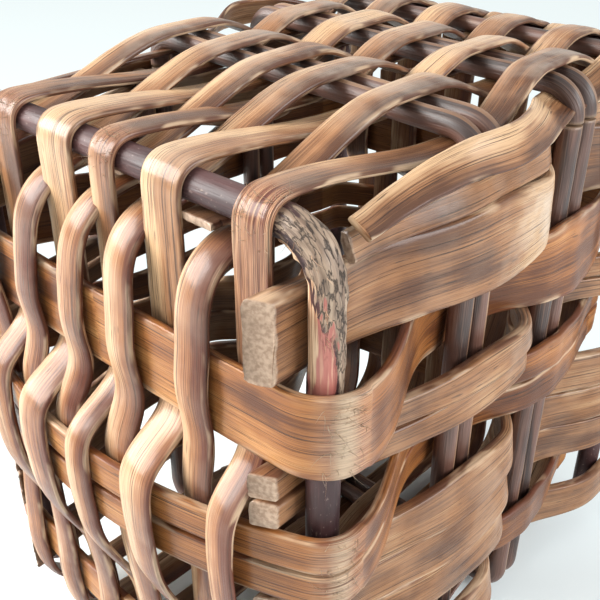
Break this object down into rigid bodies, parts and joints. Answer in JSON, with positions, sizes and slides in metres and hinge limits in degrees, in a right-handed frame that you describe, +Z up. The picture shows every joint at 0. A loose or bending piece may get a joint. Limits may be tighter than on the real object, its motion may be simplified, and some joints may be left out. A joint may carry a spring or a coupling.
{
  "type": "lidded splint basket",
  "caption": "Box-shaped basket woven from split-wood splints round bent rods, with a flat woven lid that turns on the back rail.",
  "frame": {"origin": "on the floor, under the middle of the whole basket", "axes": "+X along the hinge rail, +Y towards the hinge side, +Z up"},
  "size_m": [0.2272, 0.3008, 0.3002],
  "materials": {
    "splint": "aged split wood, worn smooth",
    "hoop_splint": "aged split wood, slight gloss",
    "filler_splint": "aged split wood, dull",
    "split_rod": "half-peeled rod",
    "bark_rod": "rod with its bark on"
  },
  "bodies": {
    "basket": {"back_rail": "bark_rod", "base_stake_1": "split_rod", "base_stake_2": "split_rod", "base_stake_3": "split_rod", "base_stake_4": "split_rod", "front_rail": "bark_rod", "left_bottom_filler": "filler_splint", "left_rim_splint": "filler_splint", "left_second_filler_bottom": "filler_splint", "left_second_filler_top": "filler_splint", "left_third_filler_bottom": "filler_splint", "left_third_filler_middle": "filler_splint", "left_third_filler_top": "filler_splint", "left_top_filler": "filler_splint", "lower_hoop": "hoop_splint", "middle_hoop_bottom": "hoop_splint", "middle_hoop_top": "hoop_splint", "right_bottom_filler": "filler_splint", "right_rim_splint": "filler_splint", "right_second_filler_bottom": "filler_splint", "right_second_filler_top": "filler_splint", "right_third_filler_bottom": "filler_splint", "right_third_filler_middle": "filler_splint", "right_third_filler_top": "filler_splint", "right_top_filler": "filler_splint", "upper_hoop": "hoop_splint", "wall_splint_01": "splint", "wall_splint_02": "splint", "wall_splint_03": "splint", "wall_splint_04": "splint", "wall_splint_05": "splint", "wall_splint_06": "splint", "wall_splint_07": "splint", "wall_splint_08": "splint", "wall_splint_09": "splint", "wall_splint_10": "splint"},
    "lid": {"lid_front_rod": "split_rod", "lid_rod_1": "split_rod", "lid_rod_2": "split_rod", "lid_rod_3": "split_rod", "lid_rod_4": "split_rod", "lid_splint_01": "splint", "lid_splint_02": "splint", "lid_splint_03": "splint", "lid_splint_04": "splint", "lid_splint_05": "splint", "lid_splint_06": "splint", "lid_splint_07": "splint", "lid_splint_08": "splint", "lid_splint_09": "splint", "lid_splint_10": "splint", "lid_splint_11": "splint", "lid_splint_12": "splint"}
  },
  "joints": [
    {"name": "lid_hinge", "type": "hinge", "parent": "basket", "child": "lid", "pos_m": [0, 0.11259, 0.285], "axis": [-1, 0, 0], "range_deg": [0, 100]}
  ]
}
